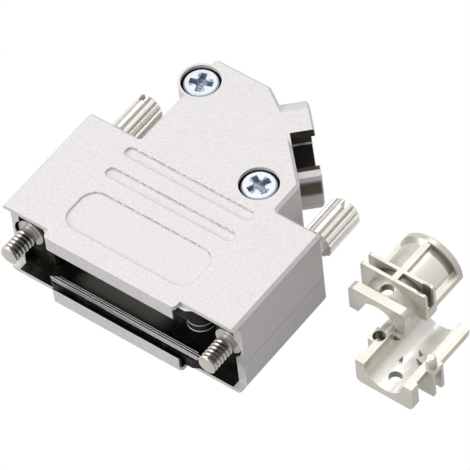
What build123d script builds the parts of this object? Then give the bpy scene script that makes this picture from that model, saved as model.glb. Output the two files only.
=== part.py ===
from build123d import *
import os
from math import atan2, cos, degrees, radians, sin

os.makedirs("parts", exist_ok=True)

# Angled metal hood for a fifteen-way D connector, with its cable clamp laid beside it.
# Two die-cast half shells meet low on the sides and are held by two screws in the neck.
# Two fluted jackscrews run through the flange and are kept in by a clip each.
# The origin is the middle of the mating face, on the plane of the two jackscrews.
# X runs along the connector, Y goes back towards the cable and Z is up.

# Whole hood, as wide as the jackscrews' spacing and a margin outside each of them
screw_spacing = 33.3
screw_margin = 2.75
hood_width = screw_spacing + 2 * screw_margin
hood_depth = 19.4
neck_depth = 36.4
neck_left = 10.8
neck_right = 12.0
roof_height = 6.0
floor_depth = 7.8
parting_depth = 2.8
wall = 1.35
roof_chamfer = 0.45
keel_chamfer = 0.48
corner_round = 0.5
overrun = 1.0

# Cable exit, measured along and across its own slanted axis
exit_angle = 45.0
exit_offset = 19.5
exit_face = 25.9
exit_end = 29.3
exit_radius = 7.3
exit_bore = 5.7
exit_throat = 4.75
exit_rib = 0.75
exit_rim_chamfer = 0.3
shoulder_width = 9.2
shoulder_inset = 1.4
notch_offset = 1.45
notch_rise = 2.3

# Front edge that takes the connector's flange
seat_setback = 1.3
groove_width = 0.6
groove_depth = 0.65
tab_width = 22.0
tab_x = -0.5
tab_root = 0.35
tab_reach = 1.35
upper_tab_height = 2.6
lower_tab_height = 2.5
tab_round = 0.6
bar_width = 25.7
bar_reach = 0.5
bar_thickness = 1.45
bar_height = 1.25
bar_taper = 1.2
bar_groove = 0.2
bar_groove_shares = (0.12, 0.34)

# Jackscrews
thread_radius = 1.42
thread_reach = 3.2
thread_back = 0.6
neck_radius = 1.3
tip_chamfer = 0.3
shank_clearance = 0.3
groove_radius = 1.15
head_radius = 2.4
head_length = 6.8
head_gap = 2.1
head_chamfer = 0.35
flute_count = 14
flute_side = 0.45
flute_turn = 45.0
driver_slot_width = 0.9
driver_slot_depth = 1.3
left_slot_angle = 99.0
right_slot_angle = 80.0
web_front = 2.75
web_thickness = 1.3
web_reach = 2.8

# Retaining clips on the jackscrews
clip_radius = 2.1
clip_thickness = 0.9
clip_play = 0.15
clip_fit = 0.07
clip_mouth = 1.5
clip_clearance = 0.3

# Assembly screws in the neck
rear_screw_x = -10.05
rear_screw_y = 31.9
front_screw_x = 7.3
front_screw_y = 21.8
boss_radius = 3.2
counterbore_radius = 2.85
cap_radius = 2.5
cap_height = 1.3
cap_sink = 0.3
cap_chamfer = 0.25
bolt_radius = 1.2
bolt_clearance = 0.15
tapped_clearance = 0.05
bolt_end_depth = 6.2
bolt_tip_gap = 0.3
recess_width = 0.9
recess_length = 3.4
recess_depth = 0.9
recess_core = 0.85
rear_recess_angle = 20.0
front_recess_angle = 62.0

# Locating lip and posts between the shells
lip_thickness = 0.6
lip_height = 0.9
lip_clearance = 0.1
post_radius = 2.0
post_spacing = 21.2
post_y = 3.6
post_end_depth = 1.8

# Marks sunk in the roof
marks_centre_x = -0.6
marks_width = 21.3
label_front = 1.9
label_length = 7.0
label_round = 2.4
label_depth = 0.25
slot_width = 1.6
slot_depth = 0.3
first_slot_y = 12.4
second_slot_y = 16.6

# Cable clamp halves, each the same casting
clamp_length = 12.75
clamp_trough = 3.18
clamp_body = 4.35
clamp_end = 1.4
clamp_end_width = 9.3
clamp_end_height = 4.5
clamp_end_round = 0.85
clamp_height = 5.0
clamp_plate_width = 10.7
clamp_plate = 0.5
clamp_plate_round = 0.35
clamp_plate_start = 3.75
clamp_groove = 1.3
clamp_bridge = 0.9
clamp_collar = 4.95
clamp_collar_length = 1.0
clamp_collar_flare = 0.6
clamp_collar_chamfer = 0.25
clamp_flange = 1.1
clamp_ridge_width = 1.0
clamp_ridge_rise = 0.4
clamp_pocket = 0.3
clamp_ear_offset = 4.27
clamp_pin_ear = 0.8
clamp_pin_radius = 0.77
clamp_pin_height = 1.7
clamp_pin_chamfer = 0.25
clamp_pin_fit = 0.15
clamp_socket_ear = 1.7
clamp_hole_radius = 0.95
clamp_hole_y = 2.46
spike_radius = 0.36
spike_tip = 0.05
spike_height = 1.1
spike_angle_shares = (0.11, 0.4, 0.58, 0.7)
spike_row_shares = (0.5, 0.39, 0.56, 0.44)
lower_clamp_x = 35.6
lower_clamp_y = 10.1
upper_clamp_x = 29.5
upper_clamp_y = 17.25
upper_clamp_drop = 0.7
clamp_turn = -0.8

# Places worked out from the sizes above
half_width = hood_width / 2
hood_height = roof_height + floor_depth
middle_z = (roof_height - floor_depth) / 2
roof_inner = roof_height - wall
floor_inner = -floor_depth + wall
screw_x = screw_spacing / 2
channel_radius = thread_radius + shank_clearance
clip_front = web_front - clip_play - clip_thickness
head_start = hood_depth + head_gap
head_end = head_start + head_length
table_z = -floor_depth

# Unit directions of the cable exit in the plan
along_x = sin(radians(exit_angle))
along_y = cos(radians(exit_angle))


def exit_point(along, across):
    """Plan point from its distances along and across the exit axis' direction."""
    return (along * along_x - across * along_y, along * along_y + across * along_x)


def exit_plane(along, height=0.0):
    """Plane square to the cable exit, its X across the exit and its Y up."""
    x, y = exit_point(along, exit_offset)
    return Plane(origin=(x, y, height), x_dir=(-along_y, along_x, 0), z_dir=(-along_x, -along_y, 0))


def hood_outline():
    """Outer plan of flange and neck, at the parting plane."""
    face_corner_y = (exit_face - neck_right * along_x) / along_y
    shoulder = exit_point(exit_face, exit_offset + shoulder_inset)
    with BuildSketch(Plane.XY.offset(-parting_depth)) as plan:
        with BuildLine():
            Polyline(
                (half_width, -overrun),
                (half_width, hood_depth),
                (neck_right, hood_depth),
                (neck_right, face_corner_y),
                shoulder,
                (-neck_left + shoulder_width, neck_depth),
                (-neck_left, neck_depth),
                (-neck_left, hood_depth),
                (-half_width, hood_depth),
                (-half_width, -overrun),
                close=True,
            )
        make_face()
        fillet(plan.vertices(), corner_round)
    return plan.sketch


def hood_hollow(inset):
    """Inner plan of flange and neck at the parting plane, open at the front."""
    inner_face = exit_face - exit_rib
    left = -neck_left + inset
    right = neck_right - inset
    back = neck_depth - inset
    face_corner_y = (inner_face - right * along_x) / along_y
    shoulder = exit_point(inner_face, exit_offset + shoulder_inset)
    with BuildSketch(Plane.XY.offset(-parting_depth)) as plan:
        with BuildLine():
            Polyline(
                (half_width - inset, -overrun),
                (half_width - inset, hood_depth - inset),
                (right, hood_depth - inset),
                (right, face_corner_y),
                shoulder,
                (-neck_left + shoulder_width - inset, back),
                (left, back),
                (left, hood_depth - inset),
                (-half_width + inset, hood_depth - inset),
                (-half_width + inset, -overrun),
                close=True,
            )
        make_face()
    return plan.sketch


def exit_barrel():
    """Round cable exit, cut flat level with the roof and the floor, its rim chamfered."""
    with BuildSketch(exit_plane(exit_end, middle_z)) as section:
        Circle(exit_radius)
        Rectangle(2 * exit_radius, hood_height, mode=Mode.INTERSECT)
    barrel = extrude(section.sketch, amount=exit_end - exit_face + wall, mode=Mode.PRIVATE)
    mouth = barrel.faces().sort_by(Axis((0, 0, 0), (along_x, along_y, 0)))[-1]
    add(barrel.chamfer(exit_rim_chamfer, None, mouth.edges()))


def exit_hole():
    """Wide bore from the mouth to the rib, and the narrower throat through the rib."""
    with BuildSketch(exit_plane(exit_end + overrun, middle_z)) as section:
        Circle(exit_bore)
    extrude(section.sketch, amount=exit_end - exit_face + overrun, mode=Mode.SUBTRACT)
    with BuildSketch(exit_plane(exit_face + overrun, middle_z)) as section:
        Circle(exit_throat)
    extrude(section.sketch, amount=2 * overrun + exit_rib, mode=Mode.SUBTRACT)


def locating_lip(outer, bottom, top):
    """Wall of the lip from its outer inset inwards, clear of the posts, the webs and the exit."""
    inner = wall + lip_clearance + lip_thickness
    raised = Location((0, 0, parting_depth))
    with BuildSketch(Plane.XY.offset(bottom)) as section:
        add(hood_hollow(outer).moved(raised))
        add(hood_hollow(inner).moved(raised), mode=Mode.SUBTRACT)
        with Locations((rear_screw_x, rear_screw_y), (front_screw_x, front_screw_y)):
            Circle(boss_radius + lip_clearance, mode=Mode.SUBTRACT)
        with Locations((0, web_front + web_thickness + lip_clearance - hood_depth / 2)):
            Rectangle(hood_width, hood_depth, mode=Mode.SUBTRACT)
        with Locations(exit_point(exit_face, exit_offset)):
            Circle(exit_radius, mode=Mode.SUBTRACT)
    extrude(section.sketch, amount=top - bottom)


def screw_posts(bottom, top):
    """Round posts round the two neck screws."""
    with BuildSketch(Plane.XY.offset(bottom)) as section:
        with Locations((rear_screw_x, rear_screw_y), (front_screw_x, front_screw_y)):
            Circle(boss_radius)
    extrude(section.sketch, amount=top - bottom)


def screw_web(bottom, top):
    """Cross webs near the front that guide the jackscrews."""
    reach = screw_x - web_reach
    with BuildSketch(Plane.XY.offset(bottom)) as section:
        with Locations((0, web_front + web_thickness / 2)):
            Rectangle(hood_width - wall, web_thickness)
            Rectangle(2 * reach, web_thickness + overrun, mode=Mode.SUBTRACT)
    extrude(section.sketch, amount=top - bottom)


def screw_channels():
    """Passages for the jackscrews, wider at the front where the clips sit."""
    with BuildSketch(Plane.XZ.offset(overrun)) as section:
        with Locations((-screw_x, 0), (screw_x, 0)):
            Circle(clip_radius + clip_clearance)
    extrude(section.sketch, amount=-(web_front + overrun), mode=Mode.SUBTRACT)
    with BuildSketch(Plane.XZ.offset(overrun)) as section:
        with Locations((-screw_x, 0), (screw_x, 0)):
            Circle(channel_radius)
    extrude(section.sketch, amount=-(hood_depth + 2 * overrun), mode=Mode.SUBTRACT)


def side_setback():
    """Side walls set back from the front, for the ends of the connector's flange."""
    with BuildSketch(Plane.XY.offset(floor_inner)) as section:
        with Locations((0, (seat_setback - overrun) / 2)):
            Rectangle(hood_width + overrun, seat_setback + overrun)
    extrude(section.sketch, amount=roof_inner - floor_inner, mode=Mode.SUBTRACT)


def tab(level, rise):
    """Front tab with rounded front corners, from the outer face inwards."""
    with BuildSketch(Plane.XY.offset(level)) as plan:
        with Locations((tab_x, (tab_root - tab_reach) / 2)):
            Rectangle(tab_width, tab_reach + tab_root)
        fillet(plan.vertices().group_by(Axis.Y)[0], tab_round)
    extrude(plan.sketch, amount=rise)


def flange_groove():
    """Groove in roof and floor, behind the tabs, that takes the connector's flange."""
    front = -bar_reach - groove_width
    with BuildSketch(Plane.XY.offset(floor_inner - groove_depth)) as section:
        with Locations((0, (front + seat_setback) / 2)):
            Rectangle(hood_width + overrun, seat_setback - front)
    extrude(section.sketch, amount=roof_inner - floor_inner + 2 * groove_depth, mode=Mode.SUBTRACT)


def seat_bar(level, rise):
    """Bar with pointed ends behind the flange groove, with fine grooves along its crest."""
    half_bar = bar_width / 2
    back = bar_thickness - bar_reach
    with BuildSketch(Plane.XY.offset(level)) as plan:
        with BuildLine():
            Polyline(
                (-half_bar, back - bar_thickness / 2),
                (-half_bar + bar_taper, -bar_reach),
                (half_bar - bar_taper, -bar_reach),
                (half_bar, back - bar_thickness / 2),
                (half_bar - bar_taper, back),
                (-half_bar + bar_taper, back),
                close=True,
            )
        make_face()
    extrude(plan.sketch, amount=rise)
    with BuildSketch(Plane.XY.offset(level + rise)) as grooves:
        for groove_share in bar_groove_shares:
            with Locations((0, back - bar_thickness * groove_share)):
                Rectangle(bar_width, bar_groove)
    extrude(grooves.sketch, amount=-bar_groove * rise / abs(rise), mode=Mode.SUBTRACT)


with BuildPart() as upper_shell:
    extrude(hood_outline(), amount=roof_height + parting_depth)
    chamfer(upper_shell.edges().group_by(Axis.Z)[-1], roof_chamfer)
    split(bisect_by=Plane.XZ, keep=Keep.BOTTOM)
    exit_barrel()
    split(bisect_by=Plane.XY.offset(-parting_depth), keep=Keep.TOP)
    extrude(hood_hollow(wall), amount=roof_inner + parting_depth, mode=Mode.SUBTRACT)
    screw_posts(-parting_depth, roof_height)
    screw_web(-parting_depth, roof_height - wall / 2)
    # Posts that hang behind the flange
    with BuildSketch(Plane.XY.offset(-post_end_depth)):
        with Locations((-post_spacing / 2, post_y), (post_spacing / 2, post_y)):
            Circle(post_radius)
    extrude(amount=roof_height - wall / 2 + post_end_depth)
    exit_hole()
    screw_channels()
    side_setback()
    tab(roof_height, -upper_tab_height)
    flange_groove()
    seat_bar(roof_inner + groove_depth, -(bar_height + groove_depth))
    # Counterbores and clearance holes for the two assembly screws
    with Locations(
        (rear_screw_x, rear_screw_y, roof_height), (front_screw_x, front_screw_y, roof_height)
    ):
        CounterBoreHole(
            radius=bolt_radius + bolt_clearance,
            counter_bore_radius=counterbore_radius,
            counter_bore_depth=cap_sink + cap_height,
            depth=roof_height + parting_depth + overrun,
        )
    # Notch that opens the top of the exit on the flange's side
    with BuildSketch(Plane.XY.offset(notch_rise)):
        notch_near = exit_offset - notch_offset
        notch_far = exit_offset - exit_radius - overrun
        with BuildLine():
            Polyline(
                exit_point(exit_face, notch_near),
                exit_point(exit_end + overrun, notch_near),
                exit_point(exit_end + overrun, notch_far),
                exit_point(exit_face, notch_far),
                close=True,
            )
        make_face()
    extrude(amount=roof_height - notch_rise + overrun, mode=Mode.SUBTRACT)
    # Label recess and the two long slots
    with BuildSketch(Plane.XY.offset(roof_height)):
        with Locations((marks_centre_x, label_front + label_length / 2)):
            RectangleRounded(marks_width, label_length, label_round)
    extrude(amount=-label_depth, mode=Mode.SUBTRACT)
    with BuildSketch(Plane.XY.offset(roof_height)):
        with Locations((marks_centre_x, first_slot_y), (marks_centre_x, second_slot_y)):
            SlotOverall(marks_width, slot_width)
    extrude(amount=-slot_depth, mode=Mode.SUBTRACT)
upper_shell.part.label = "upper_shell"
export_step(upper_shell.part, "parts/upper_shell.step")


with BuildPart() as lower_shell:
    extrude(hood_outline(), amount=-(floor_depth - parting_depth))
    chamfer(lower_shell.edges().group_by(Axis.Z)[0], keel_chamfer)
    split(bisect_by=Plane.XZ, keep=Keep.BOTTOM)
    exit_barrel()
    split(bisect_by=Plane.XY.offset(-parting_depth), keep=Keep.BOTTOM)
    extrude(hood_hollow(wall), amount=floor_inner + parting_depth, mode=Mode.SUBTRACT)
    screw_posts(-floor_depth, -parting_depth)
    screw_web(-floor_depth + wall / 2, -parting_depth)
    exit_hole()
    side_setback()
    tab(-floor_depth, lower_tab_height)
    flange_groove()
    seat_bar(floor_inner - groove_depth, bar_height + groove_depth)
    with Locations(
        (rear_screw_x, rear_screw_y, -parting_depth), (front_screw_x, front_screw_y, -parting_depth)
    ):
        Hole(radius=bolt_radius + tapped_clearance, depth=bolt_end_depth - parting_depth + bolt_tip_gap)
    # Lip rooted in the lower wall that locates the upper shell
    locating_lip(wall / 2, -parting_depth - lip_height, -parting_depth)
    locating_lip(wall + lip_clearance, -parting_depth, -parting_depth + lip_height)
lower_shell.part.label = "lower_shell"
export_step(lower_shell.part, "parts/lower_shell.step")


def assembly_screw(x, y, recess_angle):
    """Pan screw with a cross recess, seated in its counterbore."""
    cap_top = roof_height - cap_sink
    cap_foot = cap_top - cap_height
    with BuildPart() as screw:
        with BuildSketch(Plane.XY.offset(cap_foot)):
            with Locations((x, y)):
                Circle(cap_radius)
        extrude(amount=cap_height)
        chamfer(screw.edges().group_by(Axis.Z)[-1], cap_chamfer)
        with BuildSketch(Plane.XY.offset(-bolt_end_depth)):
            with Locations((x, y)):
                Circle(bolt_radius)
        extrude(amount=bolt_end_depth + cap_foot)
        with BuildSketch(Plane.XY.offset(cap_top)):
            with Locations(Location((x, y, 0), (0, 0, recess_angle))):
                Rectangle(recess_length, recess_width)
                Rectangle(recess_width, recess_length)
                Circle(recess_core)
        extrude(amount=-recess_depth, mode=Mode.SUBTRACT)
    return screw.part


rear_assembly_screw = assembly_screw(rear_screw_x, rear_screw_y, rear_recess_angle)
rear_assembly_screw.label = "rear_assembly_screw"
export_step(rear_assembly_screw, "parts/rear_assembly_screw.step")
front_assembly_screw = assembly_screw(front_screw_x, front_screw_y, front_recess_angle)
front_assembly_screw.label = "front_assembly_screw"
export_step(front_assembly_screw, "parts/front_assembly_screw.step")


def jackscrew(x, slot_angle):
    """Captive jackscrew: thread, neck, clip groove, shank and fluted head with a driver slot."""
    with BuildPart() as screw:
        with BuildSketch(Plane.XZ.offset(-head_start)):
            with Locations((x, 0)):
                Circle(head_radius)
                with PolarLocations(head_radius, flute_count):
                    Rectangle(flute_side, flute_side, rotation=flute_turn, mode=Mode.SUBTRACT)
        extrude(amount=-head_length)
        with BuildSketch(Plane.XY):
            with BuildLine():
                Polyline(
                    (x, head_start),
                    (x + head_radius, head_start),
                    (x + head_radius, head_end - head_chamfer),
                    (x + head_radius - head_chamfer, head_end),
                    (x, head_end),
                    close=True,
                )
            make_face()
        revolve(axis=Axis((x, 0, 0), (0, 1, 0)), mode=Mode.INTERSECT)
        with BuildSketch(Plane.XY):
            with BuildLine():
                Polyline(
                    (x, -thread_reach),
                    (x + thread_radius - tip_chamfer, -thread_reach),
                    (x + thread_radius, -thread_reach + tip_chamfer),
                    (x + thread_radius, thread_back),
                    (x + neck_radius, thread_back),
                    (x + neck_radius, clip_front - clip_fit),
                    (x + groove_radius, clip_front - clip_fit),
                    (x + groove_radius, clip_front + clip_thickness + clip_fit),
                    (x + thread_radius, clip_front + clip_thickness + clip_fit),
                    (x + thread_radius, head_start + head_length / 2),
                    (x, head_start + head_length / 2),
                    close=True,
                )
            make_face()
        revolve(axis=Axis((x, 0, 0), (0, 1, 0)))
        with BuildSketch(Plane.XZ.offset(-head_end)):
            with Locations(Location((x, 0, 0), (0, 0, slot_angle))):
                Rectangle(2 * head_radius + overrun, driver_slot_width)
        extrude(amount=driver_slot_depth, mode=Mode.SUBTRACT)
    return screw.part


def retaining_clip(x):
    """Open ring that snaps into the groove of a jackscrew."""
    with BuildPart() as clip:
        with BuildSketch(Plane.XZ.offset(-clip_front)):
            with Locations((x, 0)):
                Circle(clip_radius)
                Circle(groove_radius + clip_fit, mode=Mode.SUBTRACT)
                with Locations((0, -clip_radius)):
                    Rectangle(clip_mouth, 2 * clip_radius, mode=Mode.SUBTRACT)
        extrude(amount=-clip_thickness)
    return clip.part


left_jackscrew = jackscrew(-screw_x, left_slot_angle)
left_jackscrew.label = "left_jackscrew"
export_step(left_jackscrew, "parts/left_jackscrew.step")
right_jackscrew = jackscrew(screw_x, right_slot_angle)
right_jackscrew.label = "right_jackscrew"
export_step(right_jackscrew, "parts/right_jackscrew.step")
left_retaining_clip = retaining_clip(-screw_x)
left_retaining_clip.label = "left_retaining_clip"
export_step(left_retaining_clip, "parts/left_retaining_clip.step")
right_retaining_clip = retaining_clip(screw_x)
right_retaining_clip.label = "right_retaining_clip"
export_step(right_retaining_clip, "parts/right_retaining_clip.step")


def hanging_block(width, height, corner, start, length):
    """Block below the rim plane with its two lower corners rounded."""
    with BuildSketch(Plane.XZ.offset(-start)) as section:
        with Locations((0, -height / 2)):
            Rectangle(width, height)
        fillet(section.vertices().group_by(Axis.Y)[0], corner)
    extrude(section.sketch, amount=-length)


def plate_pair_block(side, inner, depth):
    """Ear between the two plates on one side, from the trough's wall out to the plates' ends."""
    outer = clamp_plate_width / 2
    with BuildSketch(Plane.XY) as section:
        with Locations((side * (inner + outer) / 2, clamp_plate_start + plate_pair / 2)):
            Rectangle(outer - inner, plate_pair)
    extrude(section.sketch, amount=-depth)


plate_pair = 2 * clamp_plate + clamp_groove
with BuildPart() as clamp_half:
    # Half-round body with its flared collar, turned about the trough's axis
    collar_start = clamp_length - clamp_collar_length
    with BuildSketch(Plane.XY):
        with BuildLine():
            Polyline(
                (0, 0),
                (clamp_body, 0),
                (clamp_body, collar_start - clamp_collar_flare),
                (clamp_collar, collar_start),
                (clamp_collar, clamp_length - clamp_collar_chamfer),
                (clamp_collar - clamp_collar_chamfer, clamp_length),
                (0, clamp_length),
                close=True,
            )
        make_face()
    revolve(axis=Axis.Y, revolution_arc=180)
    # End block, and the pair of thin plates whose groove takes the rib of the hood's exit
    hanging_block(clamp_end_width, clamp_end_height, clamp_end_round, 0, clamp_end)
    second_plate_start = clamp_plate_start + clamp_plate + clamp_groove
    for plate_start in (clamp_plate_start, second_plate_start):
        hanging_block(clamp_plate_width, clamp_height, clamp_plate_round, plate_start, clamp_plate)
    with BuildSketch(Plane.XY.offset(-clamp_height)):
        with Locations((0, clamp_plate_start + plate_pair / 2)):
            Rectangle(clamp_bridge, clamp_groove)
    extrude(amount=clamp_height - clamp_trough)
    # Pocket in the back, on the socket's side, between the plates and the collar
    rib_start = second_plate_start + clamp_plate
    pocket_depth = clamp_pocket + clamp_collar - clamp_body
    with BuildSketch(Plane.YZ):
        with Locations(((rib_start + collar_start) / 2, -clamp_collar + pocket_depth / 2)):
            Rectangle(collar_start - rib_start, pocket_depth)
    revolve(axis=Axis.Y, revolution_arc=90, mode=Mode.SUBTRACT)
    # Flanges along the rim, and a ridge along the back
    with BuildSketch(Plane.XZ.offset(-rib_start)):
        with Locations((0, -clamp_flange / 2)):
            Rectangle(2 * clamp_collar, clamp_flange)
        with Locations((0, -clamp_body)):
            Rectangle(clamp_ridge_width, 2 * clamp_ridge_rise)
    extrude(amount=rib_start - collar_start)
    # Ears that carry the pin and the socket
    plate_pair_block(1, clamp_trough, clamp_pin_ear)
    plate_pair_block(-1, clamp_trough, clamp_socket_ear)
    # Trough for the cable, with a drain hole through it
    with BuildSketch(Plane.XZ.offset(overrun)):
        Circle(clamp_trough)
    extrude(amount=-(clamp_length + 2 * overrun), mode=Mode.SUBTRACT)
    with Locations((0, clamp_hole_y, -clamp_height / 2)):
        Cylinder(clamp_hole_radius, clamp_height, mode=Mode.SUBTRACT)
    # Pointed four-sided spikes that bite into the cable
    spike_length = spike_height + wall / 2
    spike_taper = degrees(atan2(spike_radius - spike_tip, spike_length))
    for angle_share, row_share in zip(spike_angle_shares, spike_row_shares):
        angle = radians(180 * angle_share)
        foot = clamp_trough + wall / 2
        inward = (cos(angle), 0, sin(angle))
        root = (-foot * cos(angle), clamp_length * row_share, -foot * sin(angle))
        with BuildSketch(Plane(origin=root, z_dir=inward)):
            Rectangle(2 * spike_radius, 2 * spike_radius)
        extrude(amount=spike_length, taper=spike_taper)
    # Locating pin, and the socket that takes the other half's pin
    ear_y = clamp_plate_start + plate_pair / 2
    with BuildSketch(Plane.XY.offset(-clamp_pin_ear)):
        with Locations((clamp_ear_offset, ear_y)):
            Circle(clamp_pin_radius)
    extrude(amount=clamp_pin_ear + clamp_pin_height)
    chamfer(clamp_half.edges().group_by(Axis.Z)[-1], clamp_pin_chamfer)
    with BuildSketch(Plane.XY):
        with Locations((-clamp_ear_offset, ear_y)):
            Circle(clamp_pin_radius + clamp_pin_fit)
    extrude(amount=-clamp_socket_ear, mode=Mode.SUBTRACT)

lower_clamp_rim = table_z + clamp_height
upper_clamp_rim = lower_clamp_rim - upper_clamp_drop
lower_clamp_half = clamp_half.part.moved(
    Location((lower_clamp_x, lower_clamp_y, lower_clamp_rim), (0, 0, clamp_turn))
)
lower_clamp_half.label = "lower_clamp_half"
export_step(lower_clamp_half, "parts/lower_clamp_half.step")
upper_clamp_half = clamp_half.part.moved(
    Location((upper_clamp_x, upper_clamp_y, upper_clamp_rim), (0, 180, -clamp_turn))
)
upper_clamp_half.label = "upper_clamp_half"
export_step(upper_clamp_half, "parts/upper_clamp_half.step")
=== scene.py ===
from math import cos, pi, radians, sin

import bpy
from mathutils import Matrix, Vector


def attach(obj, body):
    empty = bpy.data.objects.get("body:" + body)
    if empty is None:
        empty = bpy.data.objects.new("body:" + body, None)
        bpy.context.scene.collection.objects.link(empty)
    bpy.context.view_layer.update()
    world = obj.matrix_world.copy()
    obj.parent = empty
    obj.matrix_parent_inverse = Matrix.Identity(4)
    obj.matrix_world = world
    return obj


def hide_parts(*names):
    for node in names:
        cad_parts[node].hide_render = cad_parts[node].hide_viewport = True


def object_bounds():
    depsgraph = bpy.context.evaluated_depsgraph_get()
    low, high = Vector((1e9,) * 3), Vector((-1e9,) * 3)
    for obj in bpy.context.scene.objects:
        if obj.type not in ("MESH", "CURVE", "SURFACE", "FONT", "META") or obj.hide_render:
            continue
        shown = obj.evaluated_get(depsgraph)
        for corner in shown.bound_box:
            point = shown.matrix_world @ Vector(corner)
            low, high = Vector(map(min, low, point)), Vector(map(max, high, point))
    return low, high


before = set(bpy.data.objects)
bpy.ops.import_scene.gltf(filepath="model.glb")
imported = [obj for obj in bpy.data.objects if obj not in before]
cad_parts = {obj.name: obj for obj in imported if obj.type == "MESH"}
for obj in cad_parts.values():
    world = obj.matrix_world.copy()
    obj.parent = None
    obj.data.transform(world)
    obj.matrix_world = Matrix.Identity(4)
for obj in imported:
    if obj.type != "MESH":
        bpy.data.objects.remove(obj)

# %% [markdown]
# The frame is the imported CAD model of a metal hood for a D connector, with the two halves of its
# cable clamp laid beside it. Everything here is in metres in the frame's own axes: X along the
# connector, Y back towards the cable and Z up. The hood's shells, screws and clamp halves already
# have their true shapes, so this script gives them their finishes, and makes the fine threads,
# which are too small a detail for the CAD model.

MM = 0.001
cad_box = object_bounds()
print("CAD box in mm:", [[round(v / MM, 2) for v in corner] for corner in cad_box])

# %% [markdown]
# The camera looks down on the hood from its front right corner, a little rolled, from far away
# and through a long lens, so that parallel edges hardly converge. Its angles could be guessed by
# eye. Here they were solved from the hood's known edges in the photograph, which brings every
# piece close to its place in the picture.

# %% Camera
AZIMUTH = radians(42.11)
ELEVATION = radians(51.07)
ROLL = radians(-6.84)
DISTANCE = 706.6 * MM
AIM_RIGHT = 16.04 * MM
AIM_UP = 6.66 * MM
MIDDLE_HEIGHT = -0.9 * MM
FRAME_PIXELS = 470
FOCAL_PIXELS = 5305.7
SENSOR = 36.0

away = Vector((sin(AZIMUTH) * cos(ELEVATION), -cos(AZIMUTH) * cos(ELEVATION), sin(ELEVATION)))
level = Vector((cos(AZIMUTH), sin(AZIMUTH), 0))
upright = away.cross(level)
right = level * cos(ROLL) + upright * sin(ROLL)
up = upright * cos(ROLL) - level * sin(ROLL)
aim = level * AIM_RIGHT + upright * AIM_UP + Vector((0, 0, MIDDLE_HEIGHT))

bpy.ops.object.camera_add(location=aim + away * DISTANCE)
camera = bpy.context.object
camera.rotation_euler = Matrix((right, up, away)).transposed().to_euler()
camera.data.sensor_width = SENSOR
camera.data.lens = FOCAL_PIXELS / FRAME_PIXELS * SENSOR
camera.data.clip_start = 0.01
camera.data.clip_end = 10
bpy.context.scene.camera = camera
print("Lens in mm:", round(camera.data.lens, 1))

# %% [markdown]
# Shader maths reads best as plain sums, so a small class wraps a socket of a material and turns
# + - * / into Math nodes. A second class holds the material. Its method called node adds any
# node from its type, its settings and the values or links of its sockets, and the others use it.

# %% Shader sums
SOFT_EDGE = 0.04 * MM
# The Mix node has other sockets for each type of data. These are the ones for colours.
MIX_AMOUNT, MIX_FIRST, MIX_SECOND, MIX_RESULT = 0, 6, 7, 2


class Wire:
    """A socket of a finish, on which sums and products add Math nodes."""

    def __init__(self, finish, socket):
        self.finish = finish
        self.socket = socket

    def math(self, operation, *others):
        return self.finish.node("ShaderNodeMath", {"operation": operation}, [self, *others])

    def __add__(self, other):
        return self.math("ADD", other)

    __radd__ = __add__

    def __sub__(self, other):
        return self.math("SUBTRACT", other)

    def __rsub__(self, other):
        return self.finish.node("ShaderNodeMath", {"operation": "SUBTRACT"}, [other, self])

    def __mul__(self, other):
        return self.math("MULTIPLY", other)

    __rmul__ = __mul__

    def __truediv__(self, other):
        return self.math("DIVIDE", other)

    def above(self, low, high):
        """A soft step from 0 at low to 1 at high."""
        return self.finish.node(
            "ShaderNodeMapRange",
            {"interpolation_type": "SMOOTHSTEP"},
            {"Value": self, "From Min": low, "From Max": high},
        )

    def within(self, low, high, soft=SOFT_EDGE):
        """1 from low to high, and 0 a soft step outside them."""
        return self.above(low - soft, low) * (1 - self.above(high, high + soft))

    def size(self):
        return self.math("ABSOLUTE")


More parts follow.
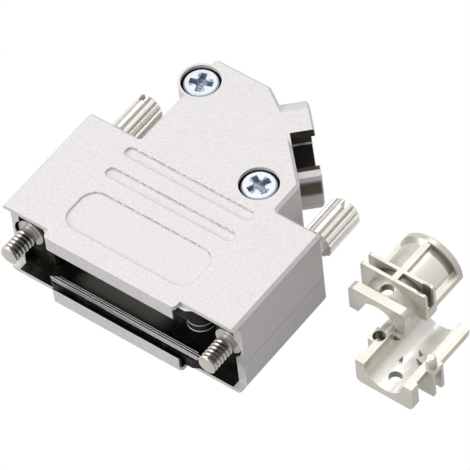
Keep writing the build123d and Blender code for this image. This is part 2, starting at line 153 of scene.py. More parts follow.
class Finish:
    """A material with one Principled shader, and what is wired to it."""

    def __init__(self, name):
        self.material = bpy.data.materials.new(name)
        self.material.use_nodes = True
        self.tree = self.material.node_tree
        self.shader = self.tree.nodes["Principled BSDF"]
        self.place = self.node("ShaderNodeTexCoord", {}, {}, "Object")
        self.x, self.y, self.z = self.axes(self.place)

    def node(self, kind, settings, sockets, output=0):
        """Adds a node: its settings first, then the values or links of its sockets."""
        new = self.tree.nodes.new(kind)
        for name, value in settings.items():
            setattr(new, name, value)
        pairs = enumerate(sockets) if isinstance(sockets, list) else sockets.items()
        for name, value in pairs:
            self.feed(new.inputs[name], value)
        return new if output is None else Wire(self, new.outputs[output])

    def feed(self, socket, value):
        """Links a socket to a wire, or sets it to a plain value."""
        if isinstance(value, Wire):
            self.tree.links.new(value.socket, socket)
        else:
            socket.default_value = value

    def set(self, **values):
        """Sets or links sockets of the shader, with underscores for spaces."""
        for name, value in values.items():
            self.feed(self.shader.inputs[name.replace("_", " ")], value)

    def axes(self, place):
        """The three numbers of a place."""
        split = self.node("ShaderNodeSeparateXYZ", {}, {"Vector": place}, None)
        return [Wire(self, split.outputs[axis]) for axis in "XYZ"]

    def mix(self, amount, first, second):
        """A colour between two others."""
        sockets = {MIX_AMOUNT: amount, MIX_FIRST: first, MIX_SECOND: second}
        return self.node("ShaderNodeMix", {"data_type": "RGBA"}, sockets, MIX_RESULT)

    def layered(self, colour, *layers):
        """A colour with others laid over it in turn, each as far as its mask is 1."""
        for mask, over in layers:
            colour = self.mix(mask, colour, over)
        return colour

    def length(self, *parts):
        """The length of a line from its sizes along the axes."""
        return sum(part * part for part in parts).math("SQRT")

    def stretched(self, x, y, z):
        """The place on the object, with each axis drawn out or pressed together."""
        sockets = {"Vector": self.place, "Scale": (x, y, z)}
        return self.node("ShaderNodeMapping", {"vector_type": "POINT"}, sockets)

    def noise(self, scale, detail=2.0, roughness=0.5, place=None):
        """Noise whose grains are about 1 / scale wide, in metres."""
        sockets = {
            "Vector": place or self.place,
            "Scale": scale,
            "Detail": detail,
            "Roughness": roughness,
        }
        return self.node("ShaderNodeTexNoise", {}, sockets, "Fac")

    def bump(self, height, distance, strength):
        """A surface that rises by distance where height is 1."""
        sockets = {"Strength": strength, "Distance": distance, "Height": height}
        return self.node("ShaderNodeBump", {}, sockets, "Normal")


def tone(red, green, blue):
    """A colour given as it looks on a screen, from 0 to 255."""
    values = (red / 255, green / 255, blue / 255)
    linear = [v / 12.92 if v < 0.04045 else ((v + 0.055) / 1.055) ** 2.4 for v in values]
    return (*linear, 1)


print("Light in a screen grey of 128:", round(tone(128, 128, 128)[0], 3))

# %% [markdown]
# The floor and the world are plain white for what the camera, a reflection or a look through
# glass sees, and far dimmer for the light that they give, so the background is white and the
# metal's sides still fall into shade. A white card behind the hood would be simpler, but it would
# light the hood from there. So the shader asks which kind of ray it meets.

# %% Floor and world
FLOOR_SIZE = 6
FLOOR_DROP = 0.02 * MM
FLOOR_TONE = (140, 139, 137)
AMBIENT = 0.37


def seen_white(tree, dim_shader, output_socket):
    """Shows white to camera, glossy and transmission rays, and another shader to the rest."""
    path = tree.nodes.new("ShaderNodeLightPath")
    seen = path.outputs["Is Camera Ray"]
    for kind in ("Is Glossy Ray", "Is Transmission Ray"):
        either = tree.nodes.new("ShaderNodeMath")
        either.operation = "MAXIMUM"
        tree.links.new(seen, either.inputs[0])
        tree.links.new(path.outputs[kind], either.inputs[1])
        seen = either.outputs[0]
    white = tree.nodes.new("ShaderNodeEmission")
    white.inputs["Color"].default_value = (1, 1, 1, 1)
    white.inputs["Strength"].default_value = 1
    choice = tree.nodes.new("ShaderNodeMixShader")
    tree.links.new(seen, choice.inputs[0])
    tree.links.new(dim_shader, choice.inputs[1])
    tree.links.new(white.outputs[0], choice.inputs[2])
    tree.links.new(choice.outputs[0], output_socket)


floor_height = cad_box[0][2] - FLOOR_DROP
bpy.ops.object.select_all(action="DESELECT")
bpy.ops.mesh.primitive_plane_add(size=FLOOR_SIZE, location=(0, 0, floor_height))
floor = bpy.context.object
floor.name = "floor"
floor_finish = bpy.data.materials.new("pale_floor")
floor_finish.use_nodes = True
floor_nodes = floor_finish.node_tree.nodes
floor_nodes["Principled BSDF"].inputs["Base Color"].default_value = tone(*FLOOR_TONE)
floor_nodes["Principled BSDF"].inputs["Roughness"].default_value = 0.9
seen_white(
    floor_finish.node_tree,
    floor_nodes["Principled BSDF"].outputs[0],
    floor_nodes["Material Output"].inputs["Surface"],
)
floor.data.materials.append(floor_finish)

world = bpy.data.worlds.new("pale_studio")
bpy.context.scene.world = world
world.use_nodes = True
world_nodes = world.node_tree.nodes
world_nodes["Background"].inputs["Color"].default_value = (1, 1, 1, 1)
world_nodes["Background"].inputs["Strength"].default_value = AMBIENT
seen_white(
    world.node_tree,
    world_nodes["Background"].outputs[0],
    world_nodes["World Output"].inputs["Surface"],
)
bpy.context.scene.view_settings.view_transform = "Standard"
print("Floor at a height of", round(floor_height / MM, 2), "mm")

# %% [markdown]
# Two soft square lamps light the hood: a large one overhead, and a smaller one from the front
# left, which makes the front a step brighter than the right side. A sun lamp would be simpler,
# but its shadows are sharp, and metal looks best with something wide to reflect.

# %% Lamps
HOOD_MIDDLE = Vector((12 * MM, 18 * MM, 0))
LAMP_DISTANCE = 0.9


def soft_lamp(name, direction, size, power):
    """A square lamp that faces the hood from a direction, with its size in m and power in W."""
    towards = Vector(direction).normalized()
    bpy.ops.object.light_add(type="AREA", location=HOOD_MIDDLE + towards * LAMP_DISTANCE)
    lamp = bpy.context.object
    lamp.name = name
    lamp.rotation_euler = towards.to_track_quat("Z", "Y").to_euler()
    lamp.data.shape = "SQUARE"
    lamp.data.size = size
    lamp.data.energy = power
    print(name, "in watts:", power)


soft_lamp("overhead_lamp", (-0.25, 0.25, 1), 0.7, 3.45)
soft_lamp("front_left_lamp", (-0.8, -1.0, 0.7), 0.5, 3.9)

# %% [markdown]
# The shells look like zinc that was cast in a die, fine blasted and plated. Their hollow is nearly
# black in the photograph. Harder light could make it so, but the outside needs soft light, so the
# hollow is painted dark, as painted shade. A mask says where. It is made from the sizes of one
# part of the casting, is 1 on that part and 0 elsewhere, and a product of masks is 1 only where
# all of them are. The first masks follow the hollow, the bar that the connector sits on, which
# gets a painted reflection, a painted sheen on the floor and a painted highlight on the front edge
# of the lip. A painted image could do the same, but would need unwrapping.

# %% Masks of the hollow and the seat
SLANT = 0.5 ** 0.5
FLANGE_HALF_WIDTH = 18.07 * MM
FLANGE_Y = (-1.28 * MM, 18.08 * MM)
NECK_X = (-9.47 * MM, 10.67 * MM)
NECK_Y = (17 * MM, 35.07 * MM)
NECK_END = (25.2 * MM, 25.3 * MM)
HOLLOW_Z = (-7.1 * MM, 5.26 * MM)
BAR_HALF_WIDTH = 12.9 * MM
BAR_Y = (-0.2 * MM, 0.97 * MM)
BAR_TOP = (-5.24 * MM, -5.15 * MM)
SHEEN_LEFT = (-11 * MM, -8 * MM)
SHEEN_RIGHT = (2 * MM, 6 * MM)
SHEEN_Y = (2.2 * MM, 12 * MM)
SHEEN_TOP = (-6.3 * MM, -6.1 * MM)
LIP_FRONT = (-1.34 * MM, -1.3 * MM)
LIP_Z = (-5.42 * MM, -5.2 * MM)

blasted = Finish("blasted_casting")
x, y, z = blasted.x, blasted.y, blasted.z
along = (x + y) * SLANT
flange_hollow = x.size().within(0, FLANGE_HALF_WIDTH) * y.within(*FLANGE_Y)
neck_hollow = x.within(*NECK_X) * y.within(*NECK_Y) * (1 - along.above(*NECK_END))
hollow = flange_hollow.math("MAXIMUM", neck_hollow) * z.within(*HOLLOW_Z, 0.03 * MM)
# Painted reflection on the bar, painted sheen on the floor, painted highlight on the lip's edge.
lower_bar = x.size().within(0, BAR_HALF_WIDTH) * y.within(*BAR_Y) * z.within(*BAR_TOP)
floor_sheen = x.above(*SHEEN_LEFT) * (1 - x.above(*SHEEN_RIGHT)) * y.within(*SHEEN_Y, 1.5 * MM)
floor_sheen = floor_sheen * (1 - z.above(*SHEEN_TOP))
lip_highlight = (1 - y.above(*LIP_FRONT)) * z.within(*LIP_Z)
print("Nodes for the hollow and the seat:", len(blasted.tree.nodes))

# %% [markdown]
# The cable exit is a barrel on a slant, so its masks use two axes of its own: one along it and
# one across it. They follow its bore, which is painted dark as shade, with a painted highlight
# streaking along it, the notch in its side, also painted dark as shade, and a dark band of painted
# reflection down the barrel beside the notch. The same shapes could be made from a Mapping node
# that is turned by 45 degrees, but sums of X and Y are as short.

# %% Masks of the exit
EXIT_ACROSS = 19.5 * MM
EXIT_Z = -0.9 * MM
EXIT_ALONG = (25.95 * MM, 29.2 * MM)
BORE_ALONG = (25.0 * MM, 29.2 * MM)
BORE_RADIUS = 5.74 * MM
STREAK_Z = -4.1 * MM
STREAK_HALF = (0.07 * MM, 0.16 * MM)
NOTCH_WALL_ACROSS = (-1.52 * MM, -1.44 * MM)
NOTCH_WALL_BOTTOM = (2.4 * MM, 2.5 * MM)
NOTCH_FLOOR_ACROSS = (-5.4 * MM, -1.4 * MM)
NOTCH_FLOOR_Z = (2.2 * MM, 2.4 * MM)
BARREL_RADII = (7.2 * MM, 7.4 * MM)
SHADE_ACROSS = (-6.0 * MM, -5.0 * MM)
SHADE_BOTTOM = (-1.1 * MM, -0.2 * MM)
SHADE_TOP = (1.3 * MM, 1.9 * MM)

across = (y - x) * SLANT - EXIT_ACROSS
exit_reach = blasted.length(across, z - EXIT_Z)
in_exit = along.within(*EXIT_ALONG)
# The bore and the notch are painted dark as shade, with a painted highlight streak in the bore.
bore = exit_reach.within(0, BORE_RADIUS) * along.within(*BORE_ALONG)
bore_highlight = 1 - (z - STREAK_Z).size().above(*STREAK_HALF)
notch_wall = across.within(*NOTCH_WALL_ACROSS) * in_exit * z.above(*NOTCH_WALL_BOTTOM)
notch_floor = across.within(*NOTCH_FLOOR_ACROSS) * in_exit * z.within(*NOTCH_FLOOR_Z)
notch = notch_wall.math("MAXIMUM", notch_floor)
barrel_shade = exit_reach.within(*BARREL_RADII) * in_exit * (1 - across.above(*SHADE_ACROSS))
barrel_shade = barrel_shade * z.above(*SHADE_BOTTOM) * (1 - z.above(*SHADE_TOP))
print("Nodes with the exit:", len(blasted.tree.nodes))

# %% [markdown]
# The next masks follow the outside: the gaps round the assembly screws' heads, the fine lines of
# the three rounded marks on the roof, and the parting line of the two shells. The casting has
# these edges, but the soft light all but loses them, so their fine shade is painted on. A mark's
# line comes from the distance to a rounded box.

# %% Masks of the gaps and the marks
REAR_SCREW = (-10.05 * MM, 31.9 * MM)
FRONT_SCREW = (7.3 * MM, 21.8 * MM)
GAP_RADIUS = 2.87 * MM
GAP_TOP = (5.25 * MM, 5.5 * MM)
MARK_X = -0.6 * MM
MARK_HALF_WIDTH = 10.65 * MM
# Middle in Y, half the depth and the radius of the corners
LABEL_MARK = (5.4 * MM, 3.5 * MM, 2.4 * MM)
FIRST_SLOT = (12.4 * MM, 0.8 * MM, 0.8 * MM)
SECOND_SLOT = (16.6 * MM, 0.8 * MM, 0.8 * MM)
MARK_LINE_HALF = (0.08 * MM, 0.16 * MM)
MARK_REAR_EDGES = ((8.3 * MM, 9.1 * MM), (12.8 * MM, 13.4 * MM), (17 * MM, 17.6 * MM))
ROOF_Z = (5.9 * MM, 5.97 * MM)
PARTING_Z = -2.8 * MM
PARTING_HALF = (0.03 * MM, 0.08 * MM)


def screw_reach(finish, place):
    """Distance from the upright axis of an assembly screw."""
    return finish.length(finish.x - place[0], finish.y - place[1])


def rounded_edge(centre_y, half_y, corner):
    """Distance from the edge of a rounded mark in the roof, negative inside it."""
    wide = (x - MARK_X).size() - (MARK_HALF_WIDTH - corner)
    deep = (y - centre_y).size() - (half_y - corner)
    beyond = blasted.length(wide.math("MAXIMUM", 0.0), deep.math("MAXIMUM", 0.0))
    return beyond + wide.math("MAXIMUM", deep).math("MINIMUM", 0.0) - corner


reaches = [screw_reach(blasted, place) for place in (REAR_SCREW, FRONT_SCREW)]
gaps = [reach.within(0, GAP_RADIUS, 0.02 * MM) for reach in reaches]
screw_gap = gaps[0].math("MAXIMUM", gaps[1]) * (1 - z.above(*GAP_TOP))
edges = [rounded_edge(*mark).size() for mark in (LABEL_MARK, FIRST_SLOT, SECOND_SLOT)]
mark_edge = edges[0].math("MINIMUM", edges[1]).math("MINIMUM", edges[2])
mark_line = (1 - mark_edge.above(*MARK_LINE_HALF)) * z.above(*ROOF_Z)
rear_edges = sum(y.within(*reach) for reach in MARK_REAR_EDGES)
parting_line = (1 - (z - PARTING_Z).size().above(*PARTING_HALF)) * (1 - hollow)
print("Nodes with the gaps and the marks:", len(blasted.tree.nodes))

# %% [markdown]
# The last masks of the shells follow what can be seen in the mouth beside the screws: the round
# channels that the jackscrews slide in, and the two posts. Both are painted near black as shade,
# and each post gets a painted highlight in a bright ring at its end and a fainter one above it.
# The rings could be modelled as well, but the photograph shows no more of them than two bright
# arcs.

# %% Masks of the channels and the posts
SCREW_X = 16.65 * MM
CHANNEL_RADIUS = 2.43 * MM
CHANNEL_Y = (1.4 * MM, 18.1 * MM)
POST_X = 10.6 * MM
POST_Y = 3.6 * MM
POST_RADII = (1.3 * MM, 2.1 * MM)
POST_Z = (-1.9 * MM, 5.2 * MM)
RING_Z = (-1.85 * MM, -1.62 * MM)
FAINT_RING_Z = (-0.62 * MM, -0.45 * MM)

# Channels and posts are painted near black as shade; rings on the posts are painted highlights.
screw_line = blasted.length(x.size() - SCREW_X, z)
channels = screw_line.within(0, CHANNEL_RADIUS, 0.02 * MM) * y.within(*CHANNEL_Y)
posts = blasted.length(x.size() - POST_X, y - POST_Y).within(*POST_RADII)
post_sides = posts * z.within(*POST_Z)
post_highlight = posts * z.within(*RING_Z) + posts * z.within(*FAINT_RING_Z) * 0.7
print("Nodes with the channels and the posts:", len(blasted.tree.nodes))

# %% [markdown]
# Blasting leaves a fine even grain with no direction, pale and a little warm. A painted texture
# could give it, but noise on the object's own coordinates needs no image and never stretches.
# Two sizes of noise make it: the fine one, of about a third of a millimetre, also gives a low
# bump, and the coarse one only shifts the tone. The masks then lay darker and brighter tones over
# it, one after the other, and dots break up the rear edges of the marks.

# %% Finish of the shells
grain = blasted.noise(3300, 2.5, 0.65)
patches = blasted.noise(260, 2.0)
streaks = blasted.noise(900, 3.0, 0.7, blasted.stretched(0.08, 5, 1))
glints = blasted.noise(500, 2.0, 0.6)
dots = blasted.noise(1500, 1.0).above(0.44, 0.54)
outer_colour = blasted.layered(
    blasted.mix(grain.above(0.3, 0.75), tone(221, 217, 218), tone(237, 234, 234)),
    (patches.above(0.3, 0.7) * 0.1, tone(222, 217, 216)),
    (mark_line * 0.4, tone(176, 173, 171)),
    (mark_line * rear_edges * dots * 0.7, tone(128, 124, 121)),
    (parting_line * 0.6, tone(120, 117, 112)),
    (barrel_shade * 0.95, tone(92, 85, 64)),
    # Painted highlight on the front edge of the lip.
    (lip_highlight, tone(255, 255, 255)),
)
# The hollow is painted dark as shade, with painted glints and, on its floor, a painted sheen.
inner_colour = blasted.layered(
    blasted.mix(glints.above(0.5, 0.8), tone(16, 14, 11), tone(70, 65, 57)),
    (floor_sheen, tone(116, 114, 109)),
)
# Painted shade in the bore, darkest below the painted highlight streak.
bore_shade_and_highlight = blasted.layered(
    blasted.mix(z.above(-4.1 * MM, -3.9 * MM), tone(24, 21, 16), tone(76, 67, 58)),
    (bore_highlight * glints.above(0.25, 0.5), tone(255, 254, 250)),
)
notch_shade = blasted.mix(glints.above(0.4, 0.7), tone(48, 42, 36), tone(76, 68, 60))
# The seat bar is painted bright as a reflection, broken by darker streaks.
bar_reflection = blasted.mix(streaks.above(0.36, 0.5), tone(140, 136, 130), tone(255, 255, 254))
shell_colour = blasted.layered(
    outer_colour,
    (hollow, inner_colour),
    (bore, bore_shade_and_highlight),
    # Painted shade in the channels and on the posts, then painted highlights on the post rings.
    (channels.math("MAXIMUM", post_sides), tone(16, 14, 12)),
    (notch, notch_shade),
    (lower_bar, bar_reflection),
    (post_highlight, tone(250, 249, 245)),
    (screw_gap, tone(26, 25, 25)),
)
dark_part = hollow.math("MAXIMUM", bore)
blasted.set(
    Base_Color=shell_colour,
    Metallic=0.15 * (1 - dark_part),
    Roughness=0.42 + grain * 0.12 + dark_part * 0.1,
    Specular_IOR_Level=0.2,
    Normal=blasted.bump(grain, 0.03 * MM, 0.5),
)
print("Nodes of the shells' finish:", len(blasted.tree.nodes))

# %% [markdown]
# The two assembly screws are bright zinc plated, which looks a little blue beside the warm
# casting. The driver has worn their cross recesses, which show as a slate blue star with ribs.
# The wear could be cut into the heads, but it is shallow. So it is painted as a second, fainter
# cross, turned from the deep one, and noise breaks up both. In the deep cross their slate blue is
# partly painted shade of the recess. Each head's rim gets a dark ring of painted shade, and all
# below the head's top a little darker slate blue, also painted shade.

# %% Finish of the assembly screws
ARM_HALF = 0.42 * MM
WORN_ARM_HALF = 0.24 * MM
WORN_TURN = radians(24)
CROSS_REACH = 1.6 * MM
CROSS_BOTTOM = (4.6 * MM, 4.7 * MM)
RECESS_TOP = (5.3 * MM, 5.6 * MM)
HEAD_RIM_SHADE = (2.36 * MM, 2.48 * MM)
zinc = Finish("zinc_plated_steel")


def cross(place, turn, half):
    """A cross on one screw's head, from half the width of its arms."""
    wide, deep = zinc.x - place[0], zinc.y - place[1]
    one = (wide * cos(turn) + deep * sin(turn)).size()
    other = (deep * cos(turn) - wide * sin(turn)).size()
    return one.math("MINIMUM", other).within(0, half, 0.08 * MM)


def worn_cross(place, turn):
    """The deep cross of a recess and a worn one turned from it."""
    worn = cross(place, turn + WORN_TURN, WORN_ARM_HALF)
    arms = cross(place, turn, ARM_HALF).math("MAXIMUM", worn)
    return arms * screw_reach(zinc, place).within(0, CROSS_REACH, 0.12 * MM)


rear_cross = worn_cross(REAR_SCREW, radians(20))
front_cross = worn_cross(FRONT_SCREW, radians(62))
crosses = rear_cross.math("MAXIMUM", front_cross) * zinc.z.above(*CROSS_BOTTOM)
low_shade = 1 - zinc.z.above(*RECESS_TOP)
nearer = screw_reach(zinc, REAR_SCREW).math("MINIMUM", screw_reach(zinc, FRONT_SCREW))
zinc_grain = zinc.noise(900, 2.0)
scuffs = zinc.noise(3200, 2.0, 0.6)
cross_wear_and_shade = zinc.mix(scuffs.above(0.4, 0.6), tone(106, 118, 138), tone(190, 199, 214))
zinc_colour = zinc.layered(
    zinc.mix(zinc_grain, tone(200, 205, 214), tone(219, 223, 230)),
    (crosses, cross_wear_and_shade),
    # Painted shade: a dark ring at each head's rim, and a darker slate blue below the head's top.
    (nearer.above(*HEAD_RIM_SHADE) * 0.8, tone(58, 60, 66)),
    (low_shade * 0.2, tone(92, 102, 124)),
)
zinc.set(Base_Color=zinc_colour, Metallic=0.35, Roughness=0.3 + zinc_grain * 0.1)
print("Nodes of the assembly screws' finish:", len(zinc.tree.nodes))

# %% [markdown]
# The jackscrews are nickel plated and turned on a lathe. Their flutes hold the dark between
# bright lands, so a mask on the distance from the screw's axis paints shade on what lies deeper,
# and paints the same shade between the crests of the thread. The whole thread is painted a little
# darker too. The thread has a dark band along its top, a little to the right. The reflection of a
# black card could give it, but would show on other pieces too, so the band is painted on, and
# turns with the screw.

# %% Finish of the jackscrews
HEAD_Y = (21.4 * MM, 21.6 * MM)
THREAD_Y = (0.5 * MM, 0.7 * MM)
FLUTE_RADII = (2.2 * MM, 2.36 * MM)
ROOT_RADII = (1.2 * MM, 1.36 * MM)
ROOT_START = (-2.9 * MM, -2.75 * MM)
BAND_START = (-2.95 * MM, -2.8 * MM)
BAND_SIDEWAYS, BAND_UPWARDS = 0.47, 0.88
nickel = Finish("nickel_plated_steel")
radius = nickel.length(nickel.x.size() - SCREW_X, nickel.z)
at_head = nickel.y.above(*HEAD_Y)
at_thread = 1 - nickel.y.above(*THREAD_Y)
flute_shade = (1 - radius.above(*FLUTE_RADII)) * at_head
root_shade = (1 - radius.above(*ROOT_RADII)) * at_thread * nickel.y.above(*ROOT_START)
left_half = 1 - nickel.x.above(-0.1 * MM, 0.1 * MM)
sideways = (nickel.x + SCREW_X) * left_half + (nickel.x - SCREW_X) * (1 - left_half)
facing = (sideways * BAND_SIDEWAYS + nickel.z * BAND_UPWARDS) / radius
band = facing.above(0.8, 0.95) * at_thread * nickel.y.above(*BAND_START)
nickel_patches = nickel.noise(700, 2.0)
nickel_colour = nickel.layered(
    nickel.mix(nickel_patches, tone(232, 229, 221), tone(248, 246, 240)),
    # Painted shade in the flutes and between the crests, and a painted reflection in the dark
    # band.
    (flute_shade * 0.36, tone(100, 95, 84)),
    (at_thread * 0.75, tone(184, 180, 171)),
    (band * 0.85, tone(40, 35, 28)),
    (root_shade * 0.6, tone(60, 56, 48)),
)
nickel.set(Base_Color=nickel_colour, Metallic=0.6, Roughness=0.28 + nickel_patches * 0.08)
print("Nodes of the jackscrews' finish:", len(nickel.tree.nodes))

# %% [markdown]
# Each jackscrew is held by a spring clip, stamped from plain spring steel. The clip shows only
# as a dull ring round the screw. Scratches and edges could be added, but nobody would see them,
# so a single patchy grey is enough for it.

# %% Finish of the retaining clips
spring = Finish("spring_steel")
spring_patches = spring.noise(900, 2.0)
spring_colour = spring.mix(spring_patches, tone(176, 172, 164), tone(206, 203, 195))
spring.set(Base_Color=spring_colour, Metallic=0.6, Roughness=0.35)
print("Nodes of the clips' finish:", len(spring.tree.nodes))

# %% [markdown]
# The clamp halves are cast in the same way but not blasted: they are a warmer ivory, smoother
# and a little soft at the edges, with a faint waviness of the mould. The two are one casting and
# lie at two places, so their masks could be made twice. One function saves that: it first turns
# the place on the object into the place on the casting, and its masks then have the casting's own
# sizes. The spikes, the drain hole, the socket, the groove between the plates and the corners
# behind the end block and under the collar get painted shade, and the trough and the barrel get
# painted highlights.

# %% Masks of a clamp half
SPIKES_REACH = 3.08 * MM
SPIKES_Y = (4.4 * MM, 7.8 * MM)
HOLE_Y = 2.46 * MM
HOLE_RADIUS = 0.98 * MM
SOCKET_X = -4.27 * MM
SOCKET_Y = 4.9 * MM
SOCKET_RADIUS = 0.94 * MM
PLATES_Y = (4.2 * MM, 5.6 * MM)
COLLAR_Y = (10.9 * MM, 11.76 * MM)
END_Y = (1.38 * MM, 1.9 * MM)


def clamp_masks(ivory, place, turn):
    """Masks of one half, which lies at a place and is turned by some angles."""
    sockets = {"Vector": ivory.place, "Location": place, "Rotation": turn}
    own = ivory.node("ShaderNodeMapping", {"vector_type": "TEXTURE"}, sockets)
    own_x, own_y, own_z = ivory.axes(own)
    reach = ivory.length(own_x, own_z)

    def lower(low, high):
        return 1 - own_z.above(low, high)

    # Painted shade goes on the spikes, in the hole and socket, between the plates, under the
    # collar and behind the end block.
    spikes = reach.within(0, SPIKES_REACH) * own_y.within(*SPIKES_Y) * lower(-0.2 * MM, 0)
    hole = ivory.length(own_x, own_y - HOLE_Y).within(0, HOLE_RADIUS) * lower(-3.2 * MM, -3.0 * MM)
    socket = ivory.length(own_x - SOCKET_X, own_y - SOCKET_Y).within(0, SOCKET_RADIUS, 0.02 * MM)
    socket = socket * lower(-0.12 * MM, -0.04 * MM)
    plates = own_y.within(*PLATES_Y) * reach.above(4.0 * MM, 4.3 * MM)
    plates = plates * (1 - reach.above(4.5 * MM, 5.0 * MM)) * lower(-1.2 * MM, -0.9 * MM)
    collar = own_y.within(*COLLAR_Y) * reach.within(4.0 * MM, 4.6 * MM)
    collar = collar * (1 - own_x.above(-0.7 * MM, -0.4 * MM)) * lower(-1.4 * MM, -1.0 * MM)
    behind_end = own_y.within(*END_Y) * reach.within(3.9 * MM, 4.5 * MM)
    behind_end = behind_end * lower(-0.5 * MM, -0.3 * MM)
    # Painted highlights go down the trough and along the outside of the barrel.
    trough_highlight = (1 - reach.above(3.2 * MM, 3.3 * MM)) * lower(-2.9 * MM, -1.6 * MM)
    barrel_highlight = reach.within(3.7 * MM, 4.15 * MM) * own_y.above(5.5 * MM, 5.7 * MM)
    shade = plates.math("MAXIMUM", collar).math("MAXIMUM", behind_end * 0.6)
    return barrel_highlight, trough_highlight, shade, hole.math("MAXIMUM", socket), spikes


# %% [markdown]
# The finish itself lays those masks over a wavy ivory. A gloss coat could make it shine, but the
# halves are metal, so the shine is partly metallic, and the waves make it a little uneven.

# %% Finish of the clamp halves
def clamp_finish(name, place, turn):
    """Finish of one half, which lies at a place and is turned by some angles."""
    ivory = Finish(name)
    barrel_highlight, trough_highlight, shade, holes, spikes = clamp_masks(ivory, place, turn)
    waves = ivory.noise(420, 2.0)
    speckle = ivory.noise(2200, 2.0, 0.6)
    colour = ivory.layered(
        ivory.mix(waves.above(0.3, 0.7), tone(203, 199, 188), tone(217, 213, 203)),
        (speckle.above(0.55, 0.8) * 0.3, tone(206, 201, 189)),
        # Painted highlights first, then painted shade.
        (barrel_highlight, tone(244, 241, 235)),
        (trough_highlight, tone(252, 250, 246)),
        (shade * 0.75, tone(112, 104, 88)),
        (holes * 0.8, tone(104, 100, 78)),
        (spikes * 0.85, tone(70, 66, 58)),
    )
    bump = ivory.bump(waves, 0.05 * MM, 0.5)
    ivory.set(Base_Color=colour, Metallic=0.38, Roughness=0.22 + waves * 0.16, Normal=bump)
    return ivory


CLAMP_TURN = radians(-0.8)
LOWER_PLACE = (35.6 * MM, 10.1 * MM, -2.8 * MM)
UPPER_PLACE = (29.5 * MM, 17.25 * MM, -3.5 * MM)
lower_ivory = clamp_finish("lower_clamp_casting", LOWER_PLACE, (0, 0, CLAMP_TURN))
upper_ivory = clamp_finish("upper_clamp_casting", UPPER_PLACE, (0, pi, CLAMP_TURN))
print("Nodes of each clamp half's finish:", len(lower_ivory.tree.nodes))

# %% [markdown]
# The finishes now go onto the solids of the CAD model, which stay where they are. A table says
# which finish each one has.

# %% Finishes onto the CAD nodes
FINISHES = {
    "upper_shell": blasted,
    "lower_shell": blasted,
    "rear_assembly_screw": zinc,
    "front_assembly_screw": zinc,
    "left_jackscrew": nickel,
    "right_jackscrew": nickel,
    "left_retaining_clip": spring,
    "right_retaining_clip": spring,
    "lower_clamp_half": lower_ivory,
    "upper_clamp_half": upper_ivory,
}
for name, finish in FINISHES.items():
    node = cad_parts[name]
    node.data.materials.clear()
    node.data.materials.append(finish.material)
print("Finished nodes:", len(FINISHES))

# %% [markdown]
# Three small functions serve the modelling below. They use the same steps as the menus would:
# pick one object, enter edit mode with all or nothing selected, and cut an object with a plane.
# The threads could be made in mesh code alone, but each of these steps can be done by hand too.

# %% Helpers for modelling
def pick(obj):
    """Makes one object the only selected one, and the active one."""
    bpy.ops.object.select_all(action="DESELECT")
    obj.select_set(True)
    bpy.context.view_layer.objects.active = obj


def start_edit(kind, action):
    """Edit mode on the active object, on its VERTs or EDGEs, with all or none of them selected."""
    bpy.ops.object.mode_set(mode="EDIT")
    bpy.ops.mesh.select_mode(type=kind)
    bpy.ops.mesh.select_all(action=action)


def cut(obj, cut_y, keep_tip):
    """Cuts an object square to Y, keeps one side and closes the cut."""
    pick(obj)
    start_edit("VERT", "SELECT")
    bpy.ops.mesh.bisect(
        plane_co=(0, cut_y, 0),
        plane_no=(0, 1, 0),
        use_fill=True,
        clear_inner=not keep_tip,
        clear_outer=keep_tip,
    )
    bpy.ops.object.mode_set(mode="OBJECT")


# %% [markdown]
# The CAD model has a plain cylinder where each jackscrew is threaded, because a thread has very
# many faces. Here the thread is real. It could be a texture, but its crests stand against the
# dark hollow, where a texture would leave a straight edge. So a single point is extruded into one
# pitch of the thread's profile, the Screw modifier winds it round the axis, and a boolean with
# a bevelled cylinder gives it square ends and a rounded tip.

# %% One threaded rod
PITCH = 0.635 * MM
CREST = 1.42 * MM
ROOT = 1.22 * MM
# Four lines make one pitch: each goes outwards in metres, and along as a share of the pitch
PROFILE = ((0, 0.125), (ROOT - CREST, 0.3125), (0, 0.25), (CREST - ROOT, 0.3125))
TURNS = 9
STEPS = 40
TIP_Y = -3.2 * MM
THREAD_END = 0.65 * MM
OVERRUN = 0.3 * MM
WELD = 0.002 * MM
TRIMMER_RADIUS = 1.6 * MM
TRIMMER_SIDES = 64
TIP_BEVEL = 0.45 * MM
TIP_SEGMENTS = 3


def trim_rod(rod):
    """Keeps what lies in a cylinder whose rim at the tip is rounded."""
    middle = (TIP_Y + THREAD_END) / 2
    bpy.ops.object.select_all(action="DESELECT")
    bpy.ops.mesh.primitive_cylinder_add(
        vertices=TRIMMER_SIDES,
        radius=TRIMMER_RADIUS,
        depth=THREAD_END - TIP_Y,
        location=(0, middle, 0),
        rotation=(radians(90), 0, 0),
    )
    trimmer = bpy.context.object
    bpy.ops.object.transform_apply(location=True, rotation=True, scale=True)
    start_edit("EDGE", "DESELECT")
    bpy.ops.object.mode_set(mode="OBJECT")
    for edge in trimmer.data.edges:
        ends = [trimmer.data.vertices[v].co for v in edge.vertices]
        edge.select = all(end.y < middle for end in ends)
    bpy.ops.object.mode_set(mode="EDIT")
    bpy.ops.mesh.bevel(offset=TIP_BEVEL, segments=TIP_SEGMENTS, affect="EDGES")
    bpy.ops.object.mode_set(mode="OBJECT")
    pick(rod)
    trim = rod.modifiers.new("trim", "BOOLEAN")
    trim.operation = "INTERSECT"
    trim.solver = "EXACT"
    trim.object = trimmer
    bpy.ops.object.modifier_apply(modifier=trim.name)
    pick(trimmer)
    bpy.ops.object.delete()


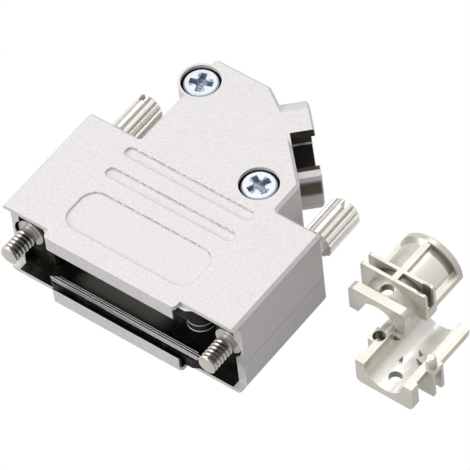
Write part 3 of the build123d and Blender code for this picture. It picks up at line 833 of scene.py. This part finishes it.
def threaded_rod(name, axis_x):
    """A right-handed thread along Y with a rounded tip."""
    bpy.ops.object.select_all(action="DESELECT")
    bpy.ops.mesh.primitive_plane_add(size=MM)
    rod = bpy.context.object
    rod.name = name
    start_edit("VERT", "SELECT")
    bpy.ops.mesh.merge(type="CENTER")
    bpy.ops.transform.translate(value=(CREST, TIP_Y - PITCH, 0))
    for outwards, share in PROFILE:
        move = {"value": (outwards, share * PITCH, 0)}
        bpy.ops.mesh.extrude_region_move(TRANSFORM_OT_translate=move)
    bpy.ops.object.mode_set(mode="OBJECT")
    wind = rod.modifiers.new("wind", "SCREW")
    wind.axis = "Y"
    wind.screw_offset = PITCH
    wind.iterations = TURNS
    wind.steps = STEPS
    wind.render_steps = STEPS
    bpy.ops.object.modifier_apply(modifier=wind.name)
    start_edit("VERT", "SELECT")
    bpy.ops.mesh.remove_doubles(threshold=WELD)
    bpy.ops.mesh.normals_make_consistent(inside=False)
    bpy.ops.object.mode_set(mode="OBJECT")
    cut(rod, TIP_Y - OVERRUN, False)
    cut(rod, THREAD_END + OVERRUN, True)
    trim_rod(rod)
    rod.location.x = axis_x
    pick(rod)
    bpy.ops.object.transform_apply(location=True, rotation=True, scale=True)
    return rod


print("Thread in mm: pitch", round(PITCH / MM, 3), "and outer radius", round(CREST / MM, 2))

# %% [markdown]
# The rest of each jackscrew is a copy of its CAD node, cut off behind the thread and joined to
# the rod. It could be modelled again here, but the copy keeps its flutes and slot true to the CAD
# model. Its loose triangles are merged first, and the normals that came with it are cleared,
# because they would shade it by its old faces. The pair rides on the screw's own body, and so
# turns and slides with it.

# %% Threaded jackscrews
COPY_WELD = 0.001 * MM
JOIN_OVERLAP = 0.03 * MM
FLAT_ANGLE = radians(1)
SCREW_SMOOTH = radians(20)
THREAD_SMOOTH = radians(28)


def threaded_jackscrew(side, axis_x):
    """A copy of the CAD jackscrew whose front end is a real thread."""
    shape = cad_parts[side + "_jackscrew"].data.copy()
    screw = bpy.data.objects.new(side + "_threaded_jackscrew", shape)
    bpy.context.scene.collection.objects.link(screw)
    pick(screw)
    start_edit("VERT", "SELECT")
    bpy.ops.mesh.remove_doubles(threshold=COPY_WELD)
    bpy.ops.object.mode_set(mode="OBJECT")
    print("Custom normals on the copy:", shape.has_custom_normals)
    bpy.ops.mesh.customdata_custom_splitnormals_clear()
    cut(screw, THREAD_END - JOIN_OVERLAP, False)
    start_edit("VERT", "SELECT")
    bpy.ops.mesh.dissolve_limited(angle_limit=FLAT_ANGLE)
    bpy.ops.object.mode_set(mode="OBJECT")
    bpy.ops.object.shade_smooth_by_angle(angle=SCREW_SMOOTH)
    rod = threaded_rod(side + "_thread", axis_x)
    bpy.ops.object.shade_smooth_by_angle(angle=THREAD_SMOOTH)
    pick(screw)
    rod.select_set(True)
    bpy.ops.object.join()
    screw.data.materials.clear()
    screw.data.materials.append(nickel.material)
    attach(screw, side + "_screw")
    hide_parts(side + "_jackscrew")
    print(screw.name, "faces:", len(screw.data.polygons))


threaded_jackscrew("left", -SCREW_X)
threaded_jackscrew("right", SCREW_X)
